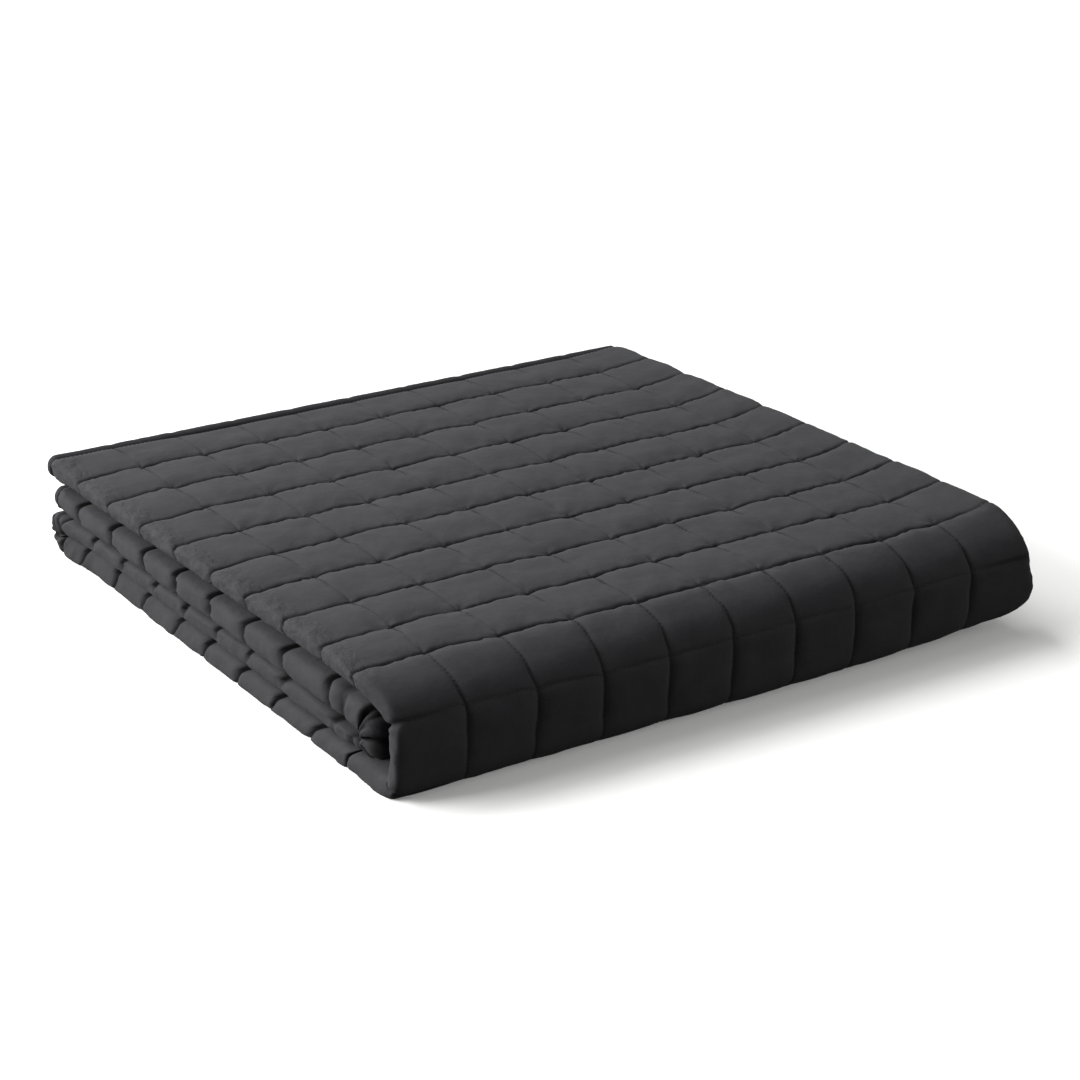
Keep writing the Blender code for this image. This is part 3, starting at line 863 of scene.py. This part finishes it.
    def ring_distances(self) -> list[Array]:
        """Return where rings stand on the top, the wrap, the underside and inside, in mm."""
        fine = np.array([0.0, 0.012, 0.026, 0.044, 0.07, 0.105, 0.15, 0.21, 0.30, 0.40, 0.50, 0.60,
                         0.70, 0.78, 0.845, 0.895, 0.93, 0.956, 0.974, 0.988])
        plain = np.array([0.0, 0.02, 0.05, 0.10, 0.18, 0.32, 0.50, 0.68, 0.82, 0.90, 0.95, 0.98])
        pitch = self.path.pitch
        first, last = self.path.binding_width, self.path.length
        under, inner = 12.5 * pitch, 22.5 * pitch
        squares = np.arange(self.path.rows)[:, None]
        fine_all = (squares + fine).reshape(-1) * pitch
        plain_all = (squares + plain).reshape(-1) * pitch
        end_of = self.path.run_end
        for start, end in ((end_of("bottom fold") - 5.0, end_of("back fold") + 28.0),
                           (end_of("third front") - 5.0, end_of("inner fold") + 20.0)):
            turn = np.arange(start, end, 1.7)
            plain_all = plain_all[(plain_all < turn[0]) | (plain_all > turn[-1])]
            plain_all = np.sort(np.concatenate([plain_all, turn]))
        hem = first + np.array([0.0, 1.0, 2.2, 4.0, 6.5, 10.0])
        spans, start = [], hem[-1] + 1.0
        for end, stations in ((9.35 * pitch, fine_all), (under, fine_all),
                              (inner, plain_all), (last - 1.0, plain_all)):
            spans.append(stations[(stations > start) & (stations <= end)])
            start = end + 0.2
        spans[0] = np.concatenate([hem, spans[0]])
        spans[3] = np.concatenate([spans[3], [last]])
        return spans

    def build(self) -> bpy.types.Object:
        """Loft the rings: fine over the top and wrap, plainer below, plainest inside.

        Returns:
            The blanket's object.
        """
        dense = np.array([0.0, 0.012, 0.028, 0.05, 0.09, 0.14, 0.19, 0.24, 0.29, 0.34, 0.39, 0.44,
                          0.49, 0.54, 0.59, 0.64, 0.69, 0.74, 0.79, 0.84, 0.89, 0.93, 0.955, 0.972,
                          0.988])
        shares = (dense, dense[[0, 1, 2, 3, 4, 6, 9, 12, 15, 18, 20, 21, 22, 23, 24]],
                  dense[[0, 2, 4, 9, 15, 20, 22]], dense[[0, 15]])
        places, cloth, seams, slacks, tubes, joins = [], [], [], [], [], []
        first, last_ring, last_line = 0, 0, None
        for per_square, rings in zip(shares, self.ring_distances()):
            x, angle, line = self.ring_stations(per_square)
            grid, thread, slack = self.points(rings[:, None], x[None, :], angle[None, :])
            places.append(grid.reshape(-1, 3))
            seams.append(thread.reshape(-1))
            slacks.append(slack.reshape(-1))
            across, along = np.broadcast_arrays(line[None, :], rings[:, None])
            cloth.append(np.stack([across, along], axis=-1).reshape(-1, 2))
            if last_line is not None:
                joins += self.join(last_ring, last_line, first, line)
            tubes.append(tube_faces(len(rings), len(x), first))
            first += len(rings) * len(x)
            last_ring, last_line = first - len(x), line
        opening = np.arange(len(self.ring_stations(shares[0])[0]))[None, :]
        closing = (last_ring + np.arange(len(last_line)))[None, ::-1]
        # The seam attribute holds the painted shade of seams, creases and gaps, with the thread's own
        # dark line.
        return put_mesh(self.name, np.concatenate(places), tubes + joins + [opening, closing],
                        np.concatenate(cloth) * MM,
                        {"seam": np.concatenate(seams), "slack": np.concatenate(slacks)})

    def join(self, first: int, line: Array, after: int, after_line: Array) -> list[Array]:
        """Join a ring to one with fewer points, each of which has its own among the ring's.

        Args:
            first: Number of the ring's first point.
            line: Places of its points along it.
            after: Number of the next ring's first point.
            after_line: Places of that ring's points.

        Returns:
            Faces in blocks of equal corner counts.
        """
        match = np.argmin(np.abs(line[None, :] - after_line[:, None]), axis=1)
        spans = np.diff(np.append(match, len(line)))
        blocks = []
        for span in np.unique(spans):
            chosen = np.nonzero(spans == span)[0]
            near = first + (match[chosen][:, None] + np.arange(span + 1)[None, :]) % len(line)
            far = after + np.stack([(chosen + 1) % len(after_line), chosen], axis=1)
            blocks.append(np.concatenate([near, far], axis=1)[:, ::-1])
        return blocks


# ---------------------------------------------------------------- the bindings


@dataclass
class EndBinding:
    """The cloth strip sewn round one end, carried across its three plies.

    Attributes:
        blanket: The blanket it closes.
        name: The piece's name.
        node: The CAD node it stands for.
        end: 0 for the first end, -1 for the last.
        up: 1 where the blanket's face lies on top there, -1 where it lies below.
        gap: Space between cloth and strip, in mm.
        half_height: Half the strip's thickness, in mm.
        ply_pitch: Distance between two plies, in mm.
        free_end: How far its last end stands back, in mm.
        slope: Rise of the strip's outer face for each mm towards the blanket's end.
        sides: Points round the strip.
    """

    blanket: QuiltedBlanket
    name: str
    node: str
    end: int
    up: int
    gap: float = 0.3
    half_height: float = 2.5
    ply_pitch: float = 5.5
    free_end: float = 6.0
    slope: float = 0.4
    sides: int = 18

    def route(self) -> Array:
        """Return the strip's middle line across the end, as points (x, height) about 2.5 mm apart.

        It starts at the free edge of the middle ply, turns round the right fold onto the face,
        crosses it, and turns round the left fold to the ply on the other side.
        """
        path = self.blanket.path
        middle, inset = path.sample(self.end)["height"], path.sample(self.end)["left"]
        edge = self.blanket.half_width + 0.6
        right_turn, left_turn = self.ply_pitch / 2.0, self.ply_pitch
        right = edge - right_turn - self.half_height
        left = edge - inset - left_turn - self.half_height
        turn = np.linspace(0.0, math.pi, 17)
        corners = np.concatenate([
            np.array([[-left, middle]]),
            np.stack([right + right_turn * np.sin(turn),
                      middle + self.up * right_turn * (1.0 - np.cos(turn))], axis=1),
            np.stack([-left - left_turn * np.sin(turn),
                      middle + self.up * left_turn * np.cos(turn)], axis=1),
            np.array([[edge - self.free_end, middle - self.up * self.ply_pitch]])])
        if self.up > 0:
            along = np.full(len(corners), path.binding_width)
            corners[:, 1] += self.blanket.hem_rise(along, corners[:, 0])
        steps = np.hypot(*np.diff(corners, axis=0).T)
        far = np.concatenate([[0.0], np.cumsum(steps)])
        wanted = np.unique(np.concatenate([far, np.arange(0.0, far[-1], 2.5)]))
        wanted = wanted[np.concatenate([[True], np.diff(wanted) > 0.3])]
        return np.stack([np.interp(wanted, far, side) for side in corners.T], axis=1)

    def build(self) -> bpy.types.Object:
        """Carry the strip's soft oval along the route, puckered where its thread pulls it in.

        The oval's reach is half its height * cos(angle) in the route's plane and half its width *
        sin(angle) along the blanket, both times 1 + a small unevenness; the ends close to a rim.

        Returns:
            The strip's object.
        """
        route = self.route()
        steps = np.diff(route, axis=0)
        steps /= np.linalg.norm(steps, axis=1)[:, None]
        normals = np.stack([-steps[:, 1], steps[:, 0]], axis=1)
        before = np.concatenate([normals[:1], normals])
        after = np.concatenate([normals, normals[-1:]])
        mitre = (before + after) / (1.0 + np.sum(before * after, axis=1))[:, None]
        far = np.concatenate([[0.0], np.cumsum(np.hypot(*np.diff(route, axis=0).T))])
        angle = math.tau * (np.arange(self.sides) + 0.5) / self.sides
        rim = np.sqrt(np.clip(np.minimum(far, far[-1] - far) / 2.0, 0.04, 1.0))
        swell = 1.0 + 0.07 * soft_noise(far / 6.0, 0.5, 51) + 0.03 * soft_noise(far / 2.2, 3.5, 52)
        column = np.abs((route[:, 0] + self.blanket.half_width) % self.blanket.path.square - 25.0)
        swell = (swell * (1.0 - 0.14 * bell(25.0 - column, 3.0)))[:, None]
        reach = self.half_height * np.sign(np.cos(angle)) * np.abs(np.cos(angle)) ** 0.65
        width = (self.blanket.path.binding_width - self.gap) / 2.0
        spread = width * np.sign(np.sin(angle)) * np.abs(np.sin(angle)) ** 0.8
        on_face = np.clip(-0.5 * (before[:, 1] + after[:, 1]) * self.up, 0.0, 1.0)[:, None]
        rise = self.slope * spread * (self.up * reach < 0.0)
        reach = (reach[None, :] - self.up * rise[None, :] * on_face) * swell * rim[:, None]
        x = route[:, 0, None] + mitre[:, 0, None] * reach
        z = route[:, 1, None] + mitre[:, 1, None] * reach
        y = self.blanket.path.sample(self.end)["depth"] + self.gap + width
        y = y + spread[None, :] * rim[:, None] * np.minimum(swell, 1.0)
        points = np.stack([x + SHIFT_X, y - ORIGIN[1], z - ORIGIN[2]], axis=-1).reshape(-1, 3)
        count, sides = len(route), self.sides
        caps = [np.arange(sides)[None, :], ((count - 1) * sides + np.arange(sides))[None, ::-1]]
        around, along = np.broadcast_arrays(angle[None, :] * self.half_height, far[:, None])
        uv = np.stack([around, along], axis=-1).reshape(-1, 2) * MM
        return put_mesh(self.name, points, [tube_faces(count, sides)] + caps, uv)


# ---------------------------------------------------------------- the sewing


@dataclass
class QuiltingStitches:
    """The thread's stitches in the shown seams and along the first end's binding.

    Attributes:
        blanket: The blanket they are sewn into.
        length: Length of a stitch, in mm.
        spacing: Distance from one stitch to the next, in mm.
        width: Width of the thread, in mm.
        height: How far it stands up in its middle, in mm.
        shown_rows: Squares along the blanket over which the seams are shown.
        name: The piece's name.
    """

    blanket: QuiltedBlanket
    length: float = 2.6
    spacing: float = 3.4
    width: float = 0.5
    height: float = 0.2
    shown_rows: float = 11.0
    name: str = "quilting_stitches"

    def lines(self) -> tuple[Array, Array]:
        """Lay out the middle line of every stitch.

        Returns:
            Distances along the blanket and places across it in mm, each of shape (stitches, 4).
        """
        blanket, pitch = self.blanket, self.blanket.path.pitch
        part = np.linspace(-0.5, 0.5, 4)[None, :] * self.length
        across = np.arange(-blanket.half_width + 8.0, blanket.half_width - 8.0, self.spacing)
        onward = np.arange(blanket.path.binding_width + 4.0, self.shown_rows * pitch, self.spacing)
        share, on_wrap = onward / pitch % 1.0, onward > blanket.path.run_end("front droop") - 20.0
        even = [np.full((len(across), 4), blanket.path.binding_width + 1.3)]
        x = [across[:, None] + part]
        for row in range(1, int(self.shown_rows) + 1):
            x.append(across[:, None] + part)
            even.append(row * pitch - blanket.row_stray(x[-1], np.full_like(x[-1], row)))
        for column in range(1, blanket.columns):
            sunk = 0.36 + 0.16 * soft_noise(np.floor(onward / pitch) + 0.5, column * 3.3, 71)
            shown = onward[(share < sunk) | (share > 0.94) | on_wrap]
            even.append(shown[:, None] + part)
            stray = blanket.column_stray(even[-1], np.full_like(even[-1], column))
            x.append(column * blanket.path.square - blanket.half_width - stray)
        return np.concatenate(even), np.concatenate(x)

    def build(self) -> bpy.types.Object:
        """Make each stitch a four-sided thread of four rings, low at its ends, as one joined mesh.

        Returns:
            The stitches' object.
        """
        even, x = self.lines()
        flat_even, flat_x = even.reshape(-1, 1), x.reshape(-1, 1)
        places, _, _ = self.blanket.points(flat_even, flat_x, np.full_like(flat_x, math.pi / 2.0))
        middle = places.reshape(len(even), 4, 3)
        heading = self.blanket.path.at(even)["heading"]
        up = np.stack([np.zeros_like(heading), np.sin(heading), -np.cos(heading)], axis=-1)
        onward = middle[:, 3] - middle[:, 0]
        onward = (onward / np.linalg.norm(onward, axis=1)[:, None])[:, None, :]
        beside = np.cross(np.broadcast_to(onward, up.shape), up)
        rise = np.array([-0.15, self.height, self.height, -0.15])[None, :, None]
        size = np.array([0.55, 1.0, 1.0, 0.55])[None, :, None] * self.width / 2.0
        axis = middle + up * rise
        corners = np.stack([axis + way * size for way in (beside, up, -beside, -up)], axis=2)
        count = len(even)
        one = np.concatenate([tube_faces(4, 4), np.array([[0, 1, 2, 3], [15, 14, 13, 12]])])
        faces = (one[None, :, :] + np.arange(count)[:, None, None] * 16).reshape(-1, 4)
        uv = np.repeat(np.stack([flat_x[:, 0], flat_even[:, 0]], axis=1), 4, axis=0) * MM
        corners[..., 2] = np.maximum(corners[..., 2], 0.0)
        return put_mesh(self.name, corners.reshape(-1, 3), [faces], uv)


# ---------------------------------------------------------------- finishes


@dataclass(frozen=True)
class WovenCotton:
    """Plain-woven cotton in a charcoal dye: matt, with short fibres that catch light at a low angle.

    Attributes:
        name: The material's name.
        colour: sRGB hex colour of the cloth.
        thread_mm: Distance between two threads as drawn. The real one is about 0.4 mm, which is
            finer than a pixel here, so it is drawn as coarse as it needs to be to show.
        roughness: Roughness of the cloth.
        sheen: Weight of the fibres' sheen.
        seam_shade: How dark the painted shade in the deepest seams and creases is: 1 is black.
    """

    name: str
    colour: str
    thread_mm: float = 0.9
    roughness: float = 0.92
    sheen: float = 0.03
    seam_shade: float = 0.97

    def material(self) -> bpy.types.Material:
        """Make the material: mottled dye colour with painted shade, a woven bump and soft creases."""
        material = bpy.data.materials.new(self.name)
        material.use_nodes = True
        tree = material.node_tree
        shader = tree.nodes["Principled BSDF"]
        shader.inputs["Roughness"].default_value = self.roughness
        shader.inputs["Sheen Weight"].default_value = self.sheen
        shader.inputs["Sheen Roughness"].default_value = 0.45
        shader.inputs["Specular IOR Level"].default_value = 0.12
        red, green, blue, _ = linear_colour(self.colour)
        place = add_node(tree, "ShaderNodeUVMap", {"uv_map": "cloth"})
        on_cloth = {"Vector": place.outputs["UV"]}
        dye = add_node(tree, "ShaderNodeTexNoise", {"Scale": 60.0, "Detail": 4.0, "Roughness": 0.6},
                       on_cloth)
        shade = add_node(tree, "ShaderNodeValToRGB", {}, {"Fac": dye.outputs["Fac"]})
        for stop, position, share in zip(shade.color_ramp.elements, (0.3, 0.7), (0.90, 1.10)):
            stop.position, stop.color = position, (red * share, green * share, blue * share, 1.0)
        # Painted shade: the seam attribute mixes the colour towards near black along seams, in deep
        # creases and in gaps between layers; a little of it is the thread's own dark line.
        seam = add_node(tree, "ShaderNodeAttribute", {"attribute_name": "seam"})
        depth = add_node(tree, "ShaderNodeMath", {"operation": "MULTIPLY", 1: self.seam_shade},
                         {0: seam.outputs["Fac"]})
        colour_with_painted_shade = add_node(tree, "ShaderNodeMix", {"data_type": "RGBA", "blend_type": "MIX",
                                                "B": (red * 0.02, green * 0.02, blue * 0.02, 1.0)},
                        {"Factor": depth.outputs["Value"], "A": shade.outputs["Color"]})
        tree.links.new(colour_with_painted_shade.outputs["Result"], shader.inputs["Base Color"])
        # a wave texture's bands stand tau / 20 / scale apart
        bands = math.tau / 20.0 / (self.thread_mm * MM)
        warp, weft = (add_node(tree, "ShaderNodeTexWave", {"Scale": bands, "Distortion": 0.6,
                                                           "Detail": 1.0, "bands_direction": way},
                               on_cloth) for way in ("X", "Y"))
        weave = add_node(tree, "ShaderNodeMath", {"operation": "MAXIMUM"},
                         {0: warp.outputs["Fac"], 1: weft.outputs["Fac"]})
        creases = add_node(tree, "ShaderNodeTexNoise",
                           {"Scale": 130.0, "Detail": 5.0, "Roughness": 0.55}, on_cloth)
        slack = add_node(tree, "ShaderNodeAttribute", {"attribute_name": "slack"})
        drawn = add_node(tree, "ShaderNodeMapping", {"Scale": (1.0, 0.45, 1.0)}, on_cloth)
        crumples = add_node(tree, "ShaderNodeTexNoise",
                            {"Scale": 230.0, "Detail": 2.0, "Roughness": 0.5},
                            {"Vector": drawn.outputs["Vector"]})
        folds = add_node(tree, "ShaderNodeMath", {"operation": "MULTIPLY"},
                         {0: slack.outputs["Fac"], 1: crumples.outputs["Fac"]})
        under = {}
        for height, strength, distance in ((weave.outputs["Value"], 0.25, 0.0001),
                                           (creases.outputs["Fac"], 0.35, 0.0012),
                                           (folds.outputs["Value"], 1.0, 0.0018)):
            bump = add_node(tree, "ShaderNodeBump", {"Strength": strength, "Distance": distance},
                            {"Height": height, **under})
            under = {"Normal": bump.outputs["Normal"]}
        tree.links.new(under["Normal"], shader.inputs["Normal"])
        return material


COVER_CLOTH = WovenCotton("woven_cotton_charcoal", "303032")
BINDING_CLOTH = WovenCotton("woven_cotton_binding", "303032", thread_mm=0.8)
SEWING_THREAD = WovenCotton("twisted_cotton_thread", "29292b", thread_mm=0.3, roughness=0.8)


def studio_paper(name: str, colour: str, glow: float) -> bpy.types.Material:
    """Return matt studio paper of a name, sRGB hex colour and faint glow from behind."""
    material = bpy.data.materials.new(name)
    material.use_nodes = True
    shader = material.node_tree.nodes["Principled BSDF"]
    shader.inputs["Base Color"].default_value = linear_colour(colour)
    shader.inputs["Roughness"].default_value = 0.9
    shader.inputs["Specular IOR Level"].default_value = 0.0
    shader.inputs["Emission Color"].default_value = (1.0, 1.0, 1.0, 1.0)
    shader.inputs["Emission Strength"].default_value = glow
    return material


# ---------------------------------------------------------------- the studio


@dataclass
class Studio:
    """A pale floor, soft lights and the camera.

    Attributes:
        eye: The camera's place, in m.
        turn: The camera's heading to the right of +Y, in degrees.
        tilt: How far it looks down, in degrees.
        roll: Its roll, in degrees.
        lens: Its lens for a sensor 36 mm wide, in mm.
    """

    eye: tuple[float, float, float] = (-1.008505, -1.54055, 0.7568)
    turn: float = 33.53
    tilt: float = 21.34
    roll: float = 0.06
    lens: float = 93.33

    def floor(self) -> None:
        """Lay a wide white floor, and under it a dimmer one that alone throws light back."""
        for name, height, colour, glow in (("studio_floor", 0.0, "f0f0ee", 0.11),
                                           ("studio_floor_bounce", -0.001, "3c3c3c", 0.0)):
            bpy.ops.mesh.primitive_plane_add(size=12.0, location=(0.0, 0.0, height))
            floor = bpy.context.active_object
            floor.name = name
            floor.data.materials.append(studio_paper(name, colour, glow))
            seen = height == 0.0
            floor.visible_camera, floor.visible_diffuse = seen, not seen
            floor.visible_glossy, floor.visible_shadow = not seen, not seen

    def light(self, name: str, kind: str, place: tuple[float, float, float], size: float,
              power: float) -> None:
        """Set a light that points at the blanket.

        Args:
            name: The light's name.
            kind: "SUN" for a far light, which falls evenly on the blanket and the whole floor, or
                "AREA" for a square soft box, whose light grows weaker across them.
            place: Its place in m; for a far light only the direction counts.
            size: The far light's width as seen from the blanket in degrees, or the box's side in m.
            power: The far light's strength in W for each square metre, or the box's power in W.
        """
        light = bpy.data.lights.new(name, kind)
        light.energy = power
        if kind == "SUN":
            light.angle = math.radians(size)
        else:
            light.shape, light.size = "SQUARE", size
        holder = bpy.data.objects.new(name, light)
        holder.location = place
        holder.rotation_euler = Vector(place).to_track_quat("Z", "Y").to_euler()
        bpy.context.scene.collection.objects.link(holder)

    def build(self) -> None:
        """Set the floor, the lights, the world and the camera."""
        self.floor()
        self.light("key_light", "SUN", (-0.20, 0.78, 0.56), 50.0, 3.5)
        self.light("left_light", "AREA", (-2.00, 0.75, 0.95), 1.5, 110.0)
        self.light("front_fill", "SUN", (0.80, -0.60, 0.08), 60.0, 1.75)
        world = bpy.data.worlds.new("studio_world")
        world.use_nodes = True
        background = world.node_tree.nodes["Background"]
        background.inputs["Color"].default_value = (1.0, 1.0, 1.0, 1.0)
        background.inputs["Strength"].default_value = 0.22
        scene = bpy.context.scene
        scene.world = world
        scene.view_settings.view_transform = "Standard"
        camera = bpy.data.cameras.new("camera")
        camera.lens, camera.sensor_width = self.lens, 36.0
        holder = bpy.data.objects.new("camera", camera)
        holder.location = self.eye
        holder.rotation_euler = tuple(map(math.radians, (90.0 - self.tilt, self.roll, -self.turn)))
        scene.collection.objects.link(holder)
        scene.camera = holder


# ---------------------------------------------------------------- putting it together


def dress(piece: bpy.types.Object, node: str | None, material: bpy.types.Material) -> None:
    """Give a piece its material, attach it to the root, hide the CAD node it replaces, report it.

    Args:
        piece: The finished piece.
        node: The CAD node it replaces, if any.
        material: Its material.
    """
    piece.data.materials.append(material)
    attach(piece, "root")
    if node:
        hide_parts(node)
    LOG.info("%s: %d faces", piece.name, len(piece.data.polygons))


def main() -> None:
    """Build the blanket, its bindings, the stitches and the studio."""
    logging.basicConfig(level=logging.INFO, format="%(message)s")
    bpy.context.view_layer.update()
    path = FoldPath()
    blanket = QuiltedBlanket(path)
    cover, strip = COVER_CLOTH.material(), BINDING_CLOTH.material()
    piece = blanket.build()
    dress(piece, "quilted_blanket", cover)
    for binding in (EndBinding(blanket, "top_binding_strip", "top_end_binding", 0, 1),
                    EndBinding(blanket, "inner_binding_strip", "inner_end_binding", -1, -1)):
        piece = binding.build()
        dress(piece, binding.node, strip)
    piece = QuiltingStitches(blanket).build()
    dress(piece, None, SEWING_THREAD.material())
    Studio().build()


if __name__ == "__main__":
    main()
